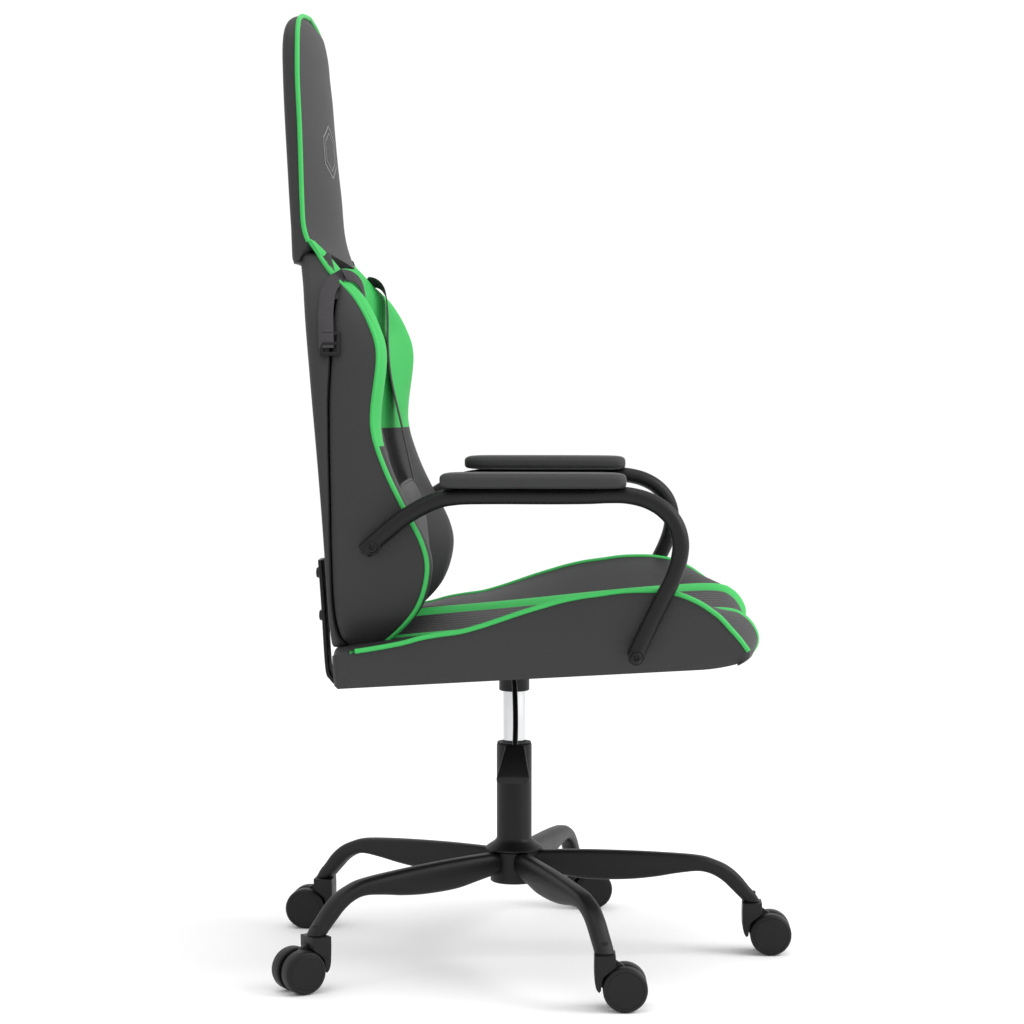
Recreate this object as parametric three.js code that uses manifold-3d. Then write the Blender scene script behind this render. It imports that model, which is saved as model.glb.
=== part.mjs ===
// A gaming chair: five-leg steel base on twin-wheel casters, gas lift, fixed seat plate with a
// height lever, upholstered seat and back, a slip-on head cap, a lumbar pillow and two tube arms.
// Millimetres, +Z up. The chair faces -Y and its right-hand side is -X. The origin lies on the
// floor at the centre of the chair's bounding box.
import * as THREE from "three";
import { mergeVertices } from "three/addons/utils/BufferGeometryUtils.js";
import Module from "manifold-3d";

const wasm = await Module();
wasm.setup();

// ---- driving dimensions -------------------------------------------------------------------
const GAP = 0.3; // kept between pieces that touch
const COLUMN = { x: -11, y: 21 }; // the lift's axis, from the centre of the bounding box

const BASE_TURN = 4.5; // degrees the front leg is turned off straight ahead
const LEGS = 5;
const STEM_CIRCLE_R = 300; // the caster stems stand on this circle
const HUB_R = 30;
const HUB_BOTTOM = 94;
const HUB_TOP = 134;
const LEG_WIDTH = 22;

const WHEEL_R = 26;
const WHEEL_WIDTH = 19;
const WHEEL_FACETS = 24;
const AXLE_Z = WHEEL_R * Math.cos(Math.PI / WHEEL_FACETS); // a flat of the tread lies on the floor
const WHEEL_GAP = 9; // between the two wheels of a caster
const CASTER_TRAIL = 24;
const CASTER_TOP = 61; // foot of the stem's collar, which carries the leg
const HOOD_TOP = 65.2;
const HOOD_HALF = 17;
const CASTER_HEADINGS = [0, 12, 175, 214, 2]; // degrees from straight ahead, from the front leg on

const TUBE_R = 22; // outer tube of the lift
const TUBE_TOP = 268;
const GAS_R = 14; // the bright cylinder
const GAS_BOTTOM = 180;
const GAS_TOP = 358;
const SOCKET_BOTTOM = 335; // foot of the seat plate's socket, at the rest height
const SOCKET_R = 19;

const SEAT_TILT = 3.3; // degrees, front edge up
const SEAT_Z = 377.5; // underside of the seat over the lift
const SEAT_HALF = 256;
const SEAT_REAR = 204;
const SEAT_FRONT = 296;
const CENTRE_HALF = 174; // half-width of the channelled centre panel
const BOARD_THICK = 12;

const BACK_LOW = 414;
const CAP_LOW = 866; // the head cap's lower edge
const HEAD_TOP = 1176;
const BACK_BOARD_THICK = 9;
const WING_INNER = 172;
const LAYER = 4.9; // from the middle of the back board to the upholstery in front of it
const PILLOW_HALF = 150;
const STRAP_X = 157;
const STRAP_WIDTH = 25;
const STRAP_THICK = 1.6;

const ARM_R = 9.5;
const PAD_X = 252.5;
const PAD_HALF = 27;
const PAD_THICK = 18;
const ARM_LEVEL = 592; // height of the arm tube's level run
const BRACKET_X = 165;
const BRACKET_HALF = 18;

// ---- materials ----------------------------------------------------------------------------
const finish = (color, roughness, metalness) => () =>
  new THREE.MeshStandardMaterial({ color, roughness, metalness });
const blackSteel = finish(0x242424, 0.45, 0.6);
const brightSteel = finish(0xd8d8d8, 0.15, 1);
const plainSteel = finish(0x8c8c8c, 0.4, 1);
const blackPlastic = finish(0x1c1c1c, 0.5, 0);
const blackLeather = finish(0x3a3a3a, 0.55, 0);
const webbing = finish(0x3c383c, 0.9, 0);
const plywood = finish(0xb08a58, 0.7, 0);

// ---- solids -------------------------------------------------------------------------------
// A closed geometry as a solid that can be cut and joined.
function solidOf(geometry) {
  const bare = geometry.index ? geometry.toNonIndexed() : geometry.clone();
  bare.deleteAttribute("normal");
  bare.deleteAttribute("uv");
  const merged = mergeVertices(bare, 1e-3);
  return new wasm.Manifold(
    new wasm.Mesh({
      numProp: 3,
      vertProperties: merged.attributes.position.array,
      triVerts: new Uint32Array(merged.index.array),
    }),
  );
}

// A solid back as a geometry for a mesh.
function geometryOf(solid) {
  const mesh = solid.getMesh();
  return new THREE.BufferGeometry()
    .setAttribute("position", new THREE.BufferAttribute(mesh.vertProperties, 3))
    .setIndex(new THREE.BufferAttribute(mesh.triVerts, 1));
}

const unite = (first, ...rest) =>
  geometryOf(rest.reduce((sum, g) => sum.add(solidOf(g)), solidOf(first)));
const cut = (first, ...rest) =>
  geometryOf(rest.reduce((sum, g) => sum.subtract(solidOf(g)), solidOf(first)));
const common = (first, second) =>
  geometryOf(solidOf(first).intersect(solidOf(second)));

// A smooth line through a few [a, b] points, as more points.
function smooth(points, steps) {
  const curve = new THREE.SplineCurve(points.map(([a, b]) => new THREE.Vector2(a, b)));
  return curve.getPoints(steps).map((p) => [p.x, p.y]);
}

const shapeOf = (points) => new THREE.Shape(points.map(([a, b]) => new THREE.Vector2(a, b)));

// An outline extruded by depth, its edges rounded by round without growing the outline.
function slab(points, depth, round = 0, roundSteps = 2) {
  return new THREE.ExtrudeGeometry(shapeOf(points), {
    depth: depth - 2 * round,
    bevelEnabled: round > 0,
    bevelSize: round,
    bevelThickness: round,
    bevelOffset: -round,
    bevelSegments: roundSteps,
    steps: 1,
  }).translate(0, 0, round);
}

// A side outline of [y, z] points that fills x0 to x1.
function sideSlab(points, x0, x1, round = 0, roundSteps = 2) {
  const toSide = new THREE.Matrix4().set(0, 0, 1, x0, 1, 0, 0, 0, 0, 1, 0, 0, 0, 0, 0, 1);
  return slab(points, x1 - x0, round, roundSteps).applyMatrix4(toSide);
}

// A front outline of [x, z] points that fills y0 to y1.
function frontSlab(points, y0, y1, round = 0) {
  return slab(points, y1 - y0, round).rotateX(Math.PI / 2).translate(0, y1, 0);
}

// A body turned about Z from [radius, z] points: from axis to axis, or a closed ring.
function turned(points, segments = 32) {
  const profile = points.map(([r, z]) => new THREE.Vector2(r, z));
  return new THREE.LatheGeometry(profile, segments).rotateX(Math.PI / 2);
}

// A ring about Z between two radii and two heights.
function ring(inner, outer, low, high, segments = 32) {
  const profile = [[inner, low], [outer, low], [outer, high], [inner, high], [inner, low]];
  return turned(profile, segments);
}

// A round bar from a to b.
function bar(a, b, radius, segments = 16) {
  const from = new THREE.Vector3(...a);
  const along = new THREE.Vector3(...b).sub(from);
  const turn = new THREE.Quaternion().setFromUnitVectors(
    new THREE.Vector3(0, 1, 0),
    along.clone().normalize(),
  );
  return new THREE.CylinderGeometry(radius, radius, along.length(), segments)
    .applyQuaternion(turn)
    .translate(...from.addScaledVector(along, 0.5));
}

// A round bar bent along a smooth route.
function bentBar(route, radius, steps, sides) {
  const path = new THREE.CatmullRomCurve3(route.map((p) => new THREE.Vector3(...p)));
  const section = new THREE.Shape();
  for (let i = 0; i < sides; i++) {
    const angle = (2 * Math.PI * i) / sides;
    const [a, b] = [radius * Math.cos(angle), radius * Math.sin(angle)];
    i ? section.lineTo(a, b) : section.moveTo(a, b);
  }
  return new THREE.ExtrudeGeometry(section, { steps, extrudePath: path, bevelEnabled: false });
}

const mirrored = (points) => points.map(([x, z]) => [-x, z]).reverse();
const radians = THREE.MathUtils.degToRad;

// ---- the assembly -------------------------------------------------------------------------
const chair = new THREE.Group();
const upright = new THREE.Group(); // everything, with the lift's axis at x = y = 0
upright.position.set(COLUMN.x, COLUMN.y, 0);
chair.add(upright);

const seatGroup = new THREE.Group(); // the tilted seat, its underside at z = 0
seatGroup.position.set(0, 0, SEAT_Z);
seatGroup.rotation.x = -radians(SEAT_TILT);
upright.add(seatGroup);

function addPiece(name, geometry, material, group = upright) {
  const mesh = new THREE.Mesh(geometry, material());
  mesh.name = name;
  group.add(mesh);
  return mesh;
}

// ---- base ---------------------------------------------------------------------------------
function addHub() {
  addPiece("base_hub", ring(20, HUB_R, HUB_BOTTOM, HUB_TOP, 30), blackSteel);
}

// One swept leg: its side outline in [distance out, height], tall near the hub and slim at the tip.
function legGeometry() {
  const top = smooth([[31, 133], [120, 132], [232, 124.5], [272, 109.5], [297, 84], [309, 70]], 7);
  const under = smooth([[290, 61.5], [279, 77], [262, 93], [232, 104.5], [175, 97], [95, 94.5], [31, 106]], 7);
  const leg = slab([...top, ...under], LEG_WIDTH, 7, 2).rotateX(Math.PI / 2);
  leg.translate(0, LEG_WIDTH / 2, 0);
  const tipCut = new THREE.BoxGeometry(60, 60, 30).translate(STEM_CIRCLE_R, 0, CASTER_TOP - 15 + 5);
  const socket = bar([STEM_CIRCLE_R, 0, 50], [STEM_CIRCLE_R, 0, 79], 6, 12);
  return cut(leg, tipCut, socket);
}

function addLegsAndCasters() {
  for (let i = 0; i < LEGS; i++) {
    const bearing = BASE_TURN + (360 / LEGS) * i; // from straight ahead, towards the chair's left
    const leg = addPiece(`base_leg_${i + 1}`, legGeometry(), blackSteel);
    leg.rotation.z = radians(bearing - 90);
    const stem = new THREE.Group();
    stem.position.set(
      STEM_CIRCLE_R * Math.sin(radians(bearing)),
      -STEM_CIRCLE_R * Math.cos(radians(bearing)),
      0,
    );
    stem.rotation.z = radians(CASTER_HEADINGS[i]);
    upright.add(stem);
    addCaster(i + 1, stem);
  }
}

// One caster: the stem stands on the group's axis and the wheels trail towards -Y.
function addCaster(number, group) {
  const wheelInner = WHEEL_GAP / 2;
  const wheelOuter = wheelInner + WHEEL_WIDTH;
  const axle = [-CASTER_TRAIL, AXLE_Z];
  const stem = turned([
    [0, 42], [5.5, 42], [5.5, CASTER_TOP], [8, CASTER_TOP], [8, 63.5], [5.5, 63.5], [5.5, 78],
    [0, 78],
  ], 12);
  addPiece(`caster_stem_${number}`, stem, plainSteel, group);
  addPiece(`caster_hood_${number}`, hoodGeometry(axle, wheelInner), blackPlastic, group);
  const axleBar = bar([-wheelOuter + 5, ...axle], [wheelOuter - 5, ...axle], 4, 10);
  addPiece(`caster_axle_${number}`, axleBar, plainSteel, group);
  for (const side of [-1, 1]) {
    const name = `caster_wheel_${number}${side < 0 ? "a" : "b"}`;
    const wheel = addPiece(name, wheelGeometry(), blackPlastic, group);
    wheel.rotation.y = (side * Math.PI) / 2;
    wheel.position.set(side * wheelInner, ...axle);
  }
}

// A wheel about its own Z, its inner face at z = 0: domed cap outside, blind bore for the axle.
function wheelGeometry() {
  const tread = WHEEL_WIDTH - 3;
  const profile = [
    [4.4, 0], [WHEEL_R, 0], [WHEEL_R, tread - 2], [WHEEL_R - 2, tread], [12, WHEEL_WIDTH],
    [0, WHEEL_WIDTH], [0, WHEEL_WIDTH - 4], [4.4, WHEEL_WIDTH - 4], [4.4, 0],
  ];
  return turned(profile, WHEEL_FACETS).rotateZ(Math.PI / WHEEL_FACETS);
}

// The hood: a block round the stem that clears both wheels, and a web between them to the axle.
function hoodGeometry([axleY, axleZ], wheelInner) {
  const blockOutline = [[-13, HOOD_TOP], [-13, 51.6], [-6, 47.2], [0, 40.5], [3.4, 32], [4, 25],
    [6, 22], [10, 28], [11.5, 38], [11.5, HOOD_TOP]];
  const block = sideSlab(blockOutline, -HOOD_HALF, HOOD_HALF);
  const webOutline = [[-12, 58], [-22, 52], [-32, 40], [-33, 22], [-24, 15], [-12, 17], [4, 26],
    [8, 40], [8, 58]];
  const webHalf = wheelInner - 0.8;
  const web = sideSlab(webOutline, -webHalf, webHalf);
  const stemHole = bar([0, 0, 41], [0, 0, HOOD_TOP + 5], 5.9, 12);
  const collarRoom = bar([0, 0, CASTER_TOP - GAP], [0, 0, HOOD_TOP + 5], 8.5, 12);
  const axleHole = bar([-20, axleY, axleZ], [20, axleY, axleZ], 4.4, 10);
  return cut(unite(block, web), stemHole, collarRoom, axleHole);
}

// ---- gas lift -----------------------------------------------------------------------------
function addLift() {
  const outer = turned([
    [7, HUB_BOTTOM + 2], [19.6, HUB_BOTTOM + 2], [19.6, HUB_TOP + GAP], [36, HUB_TOP + GAP],
    [36, 138], [24, 146], [TUBE_R, 148], [TUBE_R, TUBE_TOP], [17.5, TUBE_TOP], [17.5, 101],
    [7, 101], [7, HUB_BOTTOM + 2],
  ], 28);
  addPiece("lift_outer_tube", outer, blackSteel);
  const bush = turned([
    [14.3, 192], [17.2, 192], [17.2, TUBE_TOP + GAP], [TUBE_R - 0.5, TUBE_TOP + GAP],
    [TUBE_R - 0.5, 270.5], [14.3, 270.5], [14.3, 192],
  ], 28);
  addPiece("lift_guide_bush", bush, blackPlastic);
  addPiece("lift_thrust_bearing", ring(7, 16.5, 101.3, 105.5), plainSteel);
  const rod = turned([
    [0, 97], [5, 97], [5, 105.8], [12, 105.8], [12, 108], [5, 108], [5, 240], [10.6, 240],
    [10.6, 250], [0, 250],
  ], 24);
  addPiece("lift_piston_rod", rod, plainSteel);
  const cylinder = turned([
    [5.4, GAS_BOTTOM], [GAS_R, GAS_BOTTOM], [GAS_R, SOCKET_BOTTOM], [GAS_R - 0.8, GAS_TOP],
    [4.4, GAS_TOP], [4.4, 348], [0, 348], [0, 344], [11, 344], [11, 188], [5.4, 186],
    [5.4, GAS_BOTTOM],
  ], 32);
  addPiece("gas_cylinder", cylinder, brightSteel);
  addPiece("release_pin", turned([[0, 352], [4, 352], [4, 364], [0, 364]], 16), plainSteel);
}

// ---- seat plate and height lever ----------------------------------------------------------
const LEVER_PIVOT = { x: -18, z: 368.2 };

function addSeatPlate() {
  const outline = [[-85, -95], [85, -95], [85, 95], [-85, 95]];
  const plate = slab(outline, 3, 0);
  plate.rotateX(-radians(SEAT_TILT)).translate(0, 0, SEAT_Z - 3 - GAP);
  const socket = turned([
    [0, SOCKET_BOTTOM], [SOCKET_R, SOCKET_BOTTOM], [SOCKET_R, 350], [SOCKET_R + 5, 375.5],
    [0, 375.5],
  ], 32);
  const bore = turned([
    [0, 330], [GAS_R + 0.5, 330], [GAS_R + 0.5, 336], [GAS_R - 0.4, 360], [13.6, 372.5],
    [0, 372.5],
  ], 32);
  const leverSlot = new THREE.BoxGeometry(40, 9, 12.5).translate(-24, 0, 366.6);
  const leverEnd = new THREE.BoxGeometry(12, 9, 9).translate(8, 0, 368);
  addPiece("seat_plate", cut(unite(plate, socket), bore, leverSlot, leverEnd), blackSteel);
}

function addLever() {
  const route = [[4, 0, LEVER_PIVOT.z], [-24, 0, LEVER_PIVOT.z], [-60, -1, 364.5], [-92, -4, 352],
    [-140, -7, 318], [-182, -8, 291.5]];
  addPiece("lever_rod", bentBar(route, 3.2, 16, 8), blackSteel);
  const plan = [[-33, -19], [-27, -19.5], [33, -12], [33, 12], [-27, 19.5], [-33, 19]];
  const paddle = slab(plan, 7.5, 1.5, 1).translate(0, 0, -3.75);
  paddle.rotateY(-radians(30)).translate(-213.6, -8, 274.2);
  addPiece("lever_paddle", paddle, blackPlastic);
}

// ---- seat ---------------------------------------------------------------------------------
// Side outlines of the seat, in [y, height above the underside].
const SEAT_CENTRE_TOP = smooth([[SEAT_REAR - 6, 43], [130, 49], [0, 54], [-120, 60], [-205, 62.5],
  [-262, 61], [-284, 51], [-SEAT_FRONT, 32], [-SEAT_FRONT + 1, 16], [-283, 3]], 30);
const BOLSTER_TOP = smooth([[SEAT_REAR - 8, 38], [150, 43.5], [96, 51], [50, 59.5], [2, 72],
  [-45, 83.5], [-91, 93], [-138, 97], [-184, 95], [-207, 89], [-229, 78.5], [-251, 60.5], [-273, 33],
  [-282, 14], [-274, 2]], 36);

function addSeat() {
  const boardOutline = [[-235, -255], [235, -255], [235, 180], [-235, 180]];
  addPiece("seat_board", slab(boardOutline, BOARD_THICK).translate(0, 0, 1), plywood, seatGroup);
  const boardTop = 1 + BOARD_THICK + GAP;
  const boardRoom = new THREE.BoxGeometry(472, 437, 2 * boardTop).translate(0, -37.5, 0);
  const centre = sideSlab([...SEAT_CENTRE_TOP, [SEAT_REAR - 12, 1], [SEAT_REAR, 12],
    [SEAT_REAR, 36]], -CENTRE_HALF, CENTRE_HALF);
  addPiece("seat_cushion", cut(centre, boardRoom), blackLeather, seatGroup);
  const inner = CENTRE_HALF + GAP;
  const profile = [...BOLSTER_TOP, [SEAT_REAR - 14, 0], [SEAT_REAR, 10], [SEAT_REAR, 32]];
  const section = [[inner, -5], [SEAT_HALF + 1, -5], [SEAT_HALF + 1, 90], [SEAT_HALF - 8, 100],
    [SEAT_HALF - 22, 99], [inner, 72]];
  const sloped = common(sideSlab(profile, inner, SEAT_HALF), frontSlab(section, -320, 230));
  const bolster = cut(sloped, boardRoom);
  addPiece("seat_bolster_left", bolster, blackLeather, seatGroup);
  addPiece("seat_bolster_right", mirrorX(bolster), blackLeather, seatGroup);
}

// A geometry mirrored to the other side of the chair, its faces still outwards.
function mirrorX(geometry) {
  const copy = (geometry.index ? geometry.toNonIndexed() : geometry.clone()).scale(-1, 1, 1);
  const position = copy.attributes.position;
  for (let i = 0; i < position.count; i += 3) {
    const [x, y, z] = [position.getX(i), position.getY(i), position.getZ(i)];
    position.setXYZ(i, position.getX(i + 1), position.getY(i + 1), position.getZ(i + 1));
    position.setXYZ(i + 1, x, y, z);
  }
  return copy;
}

// ---- back ---------------------------------------------------------------------------------
// Side lines of the back from low to high, in [y, z]: the rear face, and the middle of the board.
const REAR_LINE = smooth([[209, BACK_LOW], [216, 545], [228, 700], [240, 830], [245, CAP_LOW - 3]], 12);
const SPINE = smooth([[202, BACK_LOW + 6], [208, 600], [211, 740], [219, 815], [240, 886], [254, 960],
  [259, 1060], [259, 1145]], 20);
const CAP_REAR = smooth([[256, CAP_LOW], [262, 900], [267, 990], [272, 1090], [272, 1140], [264, 1165],
  [250, HEAD_TOP - 1]], 16);
const CAP_FRONT = smooth([[248, HEAD_TOP - 3], [244, 1150], [239, 1110], [235.5, 1080],
  [230.5, 1035], [223.5, 960], [216, 910], [206, CAP_LOW + 12]], 14);
const CUSHION_FRONT = smooth([[150, 440], [151, 530], [160, 585], [177, 630], [184, 680],
  [184, 740], [190, 790], [205, 848]], 16);
const WING_FRONT = smooth([[193, 414], [166, 415], [140, 423], [106, 455], [92, 498], [97, 534],
  [122, 583], [142, 621], [156, 659], [158, 690], [151, 753], [160, 789], [186, 825], [200, 843]], 30);
// Half-width of the back at a few heights, and of the head cap above it.
const BACK_HALF = smooth([[197, BACK_LOW], [212, 450], [221, 520], [222, 640], [219, 730], [206, 790],
  [182, 832], [152, CAP_LOW - 3]], 18);
const HEAD_HALF = smooth([[143, CAP_LOW], [140, 930], [146, 1030], [148, 1090], [146, 1125],
  [138, 1148], [124, 1158], [90, 1165], [50, HEAD_TOP - 5]], 18);

const outlineOf = (half) => [...half, ...mirrored(half)];
const offsetY = (line, dy) => line.map(([y, z]) => [y + dy, z]);
const between = (line, low, high) => line.filter(([, z]) => z >= low && z <= high);

function addBack() {
  const boardHalf = smooth([[180, BACK_LOW + 8], [196, 480], [200, 640], [196, 730], [172, 800],
    [138, 850], [122, 900], [126, 1050], [118, 1110], [70, 1142]], 18);
  const half = BACK_BOARD_THICK / 2;
  const boardSide = [...offsetY(SPINE, half), ...offsetY(SPINE, -half).reverse()];
  const board = common(sideSlab(boardSide, -230, 230), frontSlab(outlineOf(boardHalf), 150, 300));
  addPiece("back_board", board, plywood);

  const spineLow = [[202, BACK_LOW], ...between(SPINE, BACK_LOW, CAP_LOW - 5)];
  const reach = offsetY(spineLow, -LAYER + GAP).reverse();
  const coverSide = [...REAR_LINE, ...reach];
  const boardRoomSide = [...offsetY(SPINE, half + GAP), ...offsetY(SPINE, -40).reverse()];
  const roomHalf = boardHalf.map(([x, z]) => [x + 1, z]);
  roomHalf[0] = [181, BACK_LOW - 5];
  const boardRoom = common(
    sideSlab(boardRoomSide, -230, 230),
    frontSlab(outlineOf(roomHalf), 150, 300),
  );
  const shell = common(sideSlab(coverSide, -230, 230), frontSlab(outlineOf(BACK_HALF), 150, 300));
  addPiece("back_rear_cover", cut(shell, boardRoom), blackLeather);

  const layerLine = offsetY(spineLow, -LAYER - GAP);
  const cushionSide = [...layerLine, ...[...CUSHION_FRONT].reverse()];
  const cushion = sideSlab(cushionSide, -WING_INNER + GAP, WING_INNER - GAP);
  const cushionFront = common(cushion, frontSlab(outlineOf(BACK_HALF), 100, 300));
  addPiece("back_cushion", cushionFront, blackLeather);

  const wingTop = between(layerLine, BACK_LOW, 846);
  const wing = sideSlab([...[...WING_FRONT].reverse(), ...wingTop], WING_INNER, 222);
  const wingLeft = common(wing, frontSlab(outlineOf(BACK_HALF), 60, 300));
  addPiece("back_wing_left", wingLeft, blackLeather);
  addPiece("back_wing_right", mirrorX(wingLeft), blackLeather);
  addHeadCap(boardHalf);
}

// The head cap: a padded cover over the top of the board, open underneath.
function addHeadCap(boardHalf) {
  const capSide = [...CAP_REAR, ...CAP_FRONT];
  const cap = common(sideSlab(capSide, -160, 160), frontSlab(outlineOf(HEAD_HALF), 150, 300));
  const half = BACK_BOARD_THICK / 2 + GAP;
  const roomSide = [...offsetY(SPINE, half), ...offsetY(SPINE, -half).reverse()];
  const roomHalf = boardHalf.map(([x, z]) => [x + 1, z + 1]);
  const room = common(sideSlab(roomSide, -230, 230), frontSlab(outlineOf(roomHalf), 150, 300));
  addPiece("head_cap", cut(cap, room), blackLeather);
}

// The lumbar pillow in front of the cushion, and a strap from each top corner over the shoulder.
function addPillow() {
  const rear = offsetY([[150, 456], [146, 500], [144, 560], [149, 604]], -4);
  const front = smooth([[138, 606], [120, 590], [106, 550], [104, 500], [116, 462], [138, 454]], 14);
  const plan = smooth([[138, 452], [149, 480], [149, 580], [138, 608]], 8);
  const pillow = sideSlab([...rear, ...front], -PILLOW_HALF, PILLOW_HALF);
  addPiece("lumbar_pillow", common(pillow, frontSlab(outlineOf(plan), 60, 200)), blackLeather);
  const route = smooth([[144, 602], [149, 680], [158, 740], [172, 797], [190, 846], [222, 871],
    [249, 862], [247, 830], [243, 790], [241, 770]], 28);
  const outer = thickened(route, STRAP_THICK);
  for (const side of [-1, 1]) {
    const low = side * STRAP_X - STRAP_WIDTH / 2;
    const strap = sideSlab([...outer, ...[...route].reverse()], low, low + STRAP_WIDTH);
    addPiece(side < 0 ? "pillow_strap_right" : "pillow_strap_left", strap, webbing);
  }
}

// The same route moved by a thickness, away from the back.
function thickened(route, thickness) {
  return route.map(([y, z], i) => {
    const [y0, z0] = route[Math.max(i - 1, 0)];
    const [y1, z1] = route[Math.min(i + 1, route.length - 1)];
    const length = Math.hypot(y1 - y0, z1 - z0);
    return [y - (thickness * (z1 - z0)) / length, z + (thickness * (y1 - y0)) / length];
  });
}

// ---- brackets and arms --------------------------------------------------------------------
function addBrackets() {
  const outer = [[221, 512], [226, 512], [218, 390], [214.5, 374], [209, 362], [204, 358.5],
    [125, 363.4], [125, 367.9], [200, 363.6], [205, 367], [210, 376], [213, 390]];
  for (const x of [-BRACKET_X, BRACKET_X]) {
    const name = x < 0 ? "back_bracket_right" : "back_bracket_left";
    addPiece(name, sideSlab([...outer].reverse(), x - BRACKET_HALF, x + BRACKET_HALF), blackSteel);
  }
}

// The left arm's tube from the back, under its pad, down to the side of the seat.
const ARM_ROUTE = [[233, 163, 529], [234, 155, 536], [238, 122, 564], [244, 87, 584], [249, 60, 591],
  [252, 20, ARM_LEVEL], [PAD_X, -50, ARM_LEVEL], [PAD_X, -105, ARM_LEVEL], [254, -137, 591.5],
  [256, -163, 585.5], [259, -187, 568], [262, -201, 541], [264, -198, 515], [265.5, -187, 485],
  [266.5, -170, 451], [266.5, -146, 404]];

// The pad from above, in [x from its middle, y].
const PAD_PLAN = [[22, -139], [PAD_HALF, -132], [PAD_HALF, 50], [18, 73], [-18, 73], [-PAD_HALF, 50],
  [-PAD_HALF, -132], [-22, -139]];

function addArms() {
  for (const side of [-1, 1]) {
    const hand = side < 0 ? "right" : "left";
    const route = ARM_ROUTE.map(([x, y, z]) => [side * x, y, z]);
    addPiece(`arm_tube_${hand}`, bentBar(route, ARM_R, 34, 10), blackSteel);
    const padTop = ARM_LEVEL + ARM_R + GAP;
    const pad = slab(PAD_PLAN, PAD_THICK, 5, 2).translate(side * PAD_X, 0, padTop);
    addPiece(`arm_pad_${hand}`, pad, blackPlastic);
  }
}

addHub();
addLegsAndCasters();
addLift();
addSeatPlate();
addLever();
addSeat();
addBack();
addPillow();
addBrackets();
addArms();

export default chair;
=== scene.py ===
"""A gaming chair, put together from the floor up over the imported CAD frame."""
import math

import bpy
from mathutils import Matrix, Vector


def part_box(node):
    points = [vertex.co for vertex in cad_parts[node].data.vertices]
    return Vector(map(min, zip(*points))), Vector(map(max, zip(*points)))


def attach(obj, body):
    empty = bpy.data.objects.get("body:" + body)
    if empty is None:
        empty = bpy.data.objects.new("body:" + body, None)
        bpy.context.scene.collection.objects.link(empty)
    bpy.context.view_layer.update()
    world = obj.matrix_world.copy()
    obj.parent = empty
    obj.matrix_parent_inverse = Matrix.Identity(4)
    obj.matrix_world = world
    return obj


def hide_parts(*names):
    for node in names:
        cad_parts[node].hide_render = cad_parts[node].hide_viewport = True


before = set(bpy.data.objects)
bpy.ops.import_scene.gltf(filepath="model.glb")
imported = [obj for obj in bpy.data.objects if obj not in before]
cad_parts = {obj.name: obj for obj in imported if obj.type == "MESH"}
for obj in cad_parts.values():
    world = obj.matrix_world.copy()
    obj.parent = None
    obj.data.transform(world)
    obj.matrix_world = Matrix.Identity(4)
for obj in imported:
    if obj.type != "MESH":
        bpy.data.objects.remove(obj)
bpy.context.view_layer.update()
bpy.ops.object.select_all(action="DESELECT")

# ---- Studio ----
# A seamless pale floor under an even white sky, with one wide softbox in front of the chair
# and one above it. The camera stands at the sitter's right, a little forward of square on.
bpy.context.scene.view_settings.view_transform = "Standard"
bpy.ops.object.camera_add(location=(-3.3427, -0.1088, 0.7598))
camera = bpy.context.object
camera.name = "camera"
sight = Vector((0.9974, 0.0397, -0.0602))
camera.rotation_euler = sight.to_track_quat("-Z", "Y").to_euler()
camera.data.lens = 94.0
camera.data.sensor_width = 36.0
bpy.context.scene.camera = camera

sky = bpy.data.worlds.new("even_sky")
bpy.context.scene.world = sky
sky.use_nodes = True
sky.node_tree.nodes["Background"].inputs["Color"].default_value = (1.0, 1.0, 1.0, 1.0)
sky.node_tree.nodes["Background"].inputs["Strength"].default_value = 1.04


def add_softbox(name, place, target, size, power):
    """A square softbox at place, turned towards target."""
    bpy.ops.object.light_add(type="AREA", location=place)
    light = bpy.context.object
    light.name = name
    light.rotation_euler = (Vector(target) - Vector(place)).to_track_quat("-Z", "Y").to_euler()
    light.data.size = size
    light.data.energy = power


add_softbox("front_softbox", (-0.5, -2.6, 2.2), (0, 0, 0.7), 1.8, 55)
add_softbox("top_softbox", (-0.6, 0.2, 3.4), (0, 0, 0.5), 2.2, 25)

bpy.ops.mesh.primitive_plane_add(size=60.0, location=(0, 0, -0.0005))
floor = bpy.context.object
floor.name = "floor"
floor_paper = bpy.data.materials.new("floor_paper")
floor_paper.use_nodes = True
floor_paper.node_tree.nodes["Principled BSDF"].inputs["Base Color"].default_value = (0.97, 0.97, 0.97, 1)
floor_paper.node_tree.nodes["Principled BSDF"].inputs["Roughness"].default_value = 0.9
floor_paper.node_tree.nodes["Principled BSDF"].inputs["Specular IOR Level"].default_value = 0.0
floor.data.materials.append(floor_paper)

# ---- Steel finishes ----
# The star base, the lift tube, the arm loops and the brackets are welded steel with a satin
# black powder coat. Powder coat has a faint orange peel and is a little shinier where rubbed.


def group_socket(group, name, direction, kind="NodeSocketFloat", value=None):
    """Adds a named socket to a shader node group."""
    made = group.interface.new_socket(name=name, in_out=direction, socket_type=kind)
    if value is not None:
        made.default_value = value
    return made


def texture(tree, kind, coordinate, **settings):
    """Adds a texture node that reads coordinate, with its settings by socket name."""
    node = tree.nodes.new(kind)
    tree.links.new(coordinate, node.inputs["Vector"])
    for socket, value in settings.items():
        node.inputs[socket.replace("_", " ")].default_value = value
    return node


def calculate(tree, operation, a, b=None, c=None):
    """Adds a Math node for one operation on sockets or numbers, and gives its output."""
    node = tree.nodes.new("ShaderNodeMath")
    node.operation = operation
    for socket, value in zip(node.inputs, (a, b, c)):
        if isinstance(value, bpy.types.NodeSocket):
            tree.links.new(value, socket)
        elif value is not None:
            socket.default_value = value
    return node.outputs[0]


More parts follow.
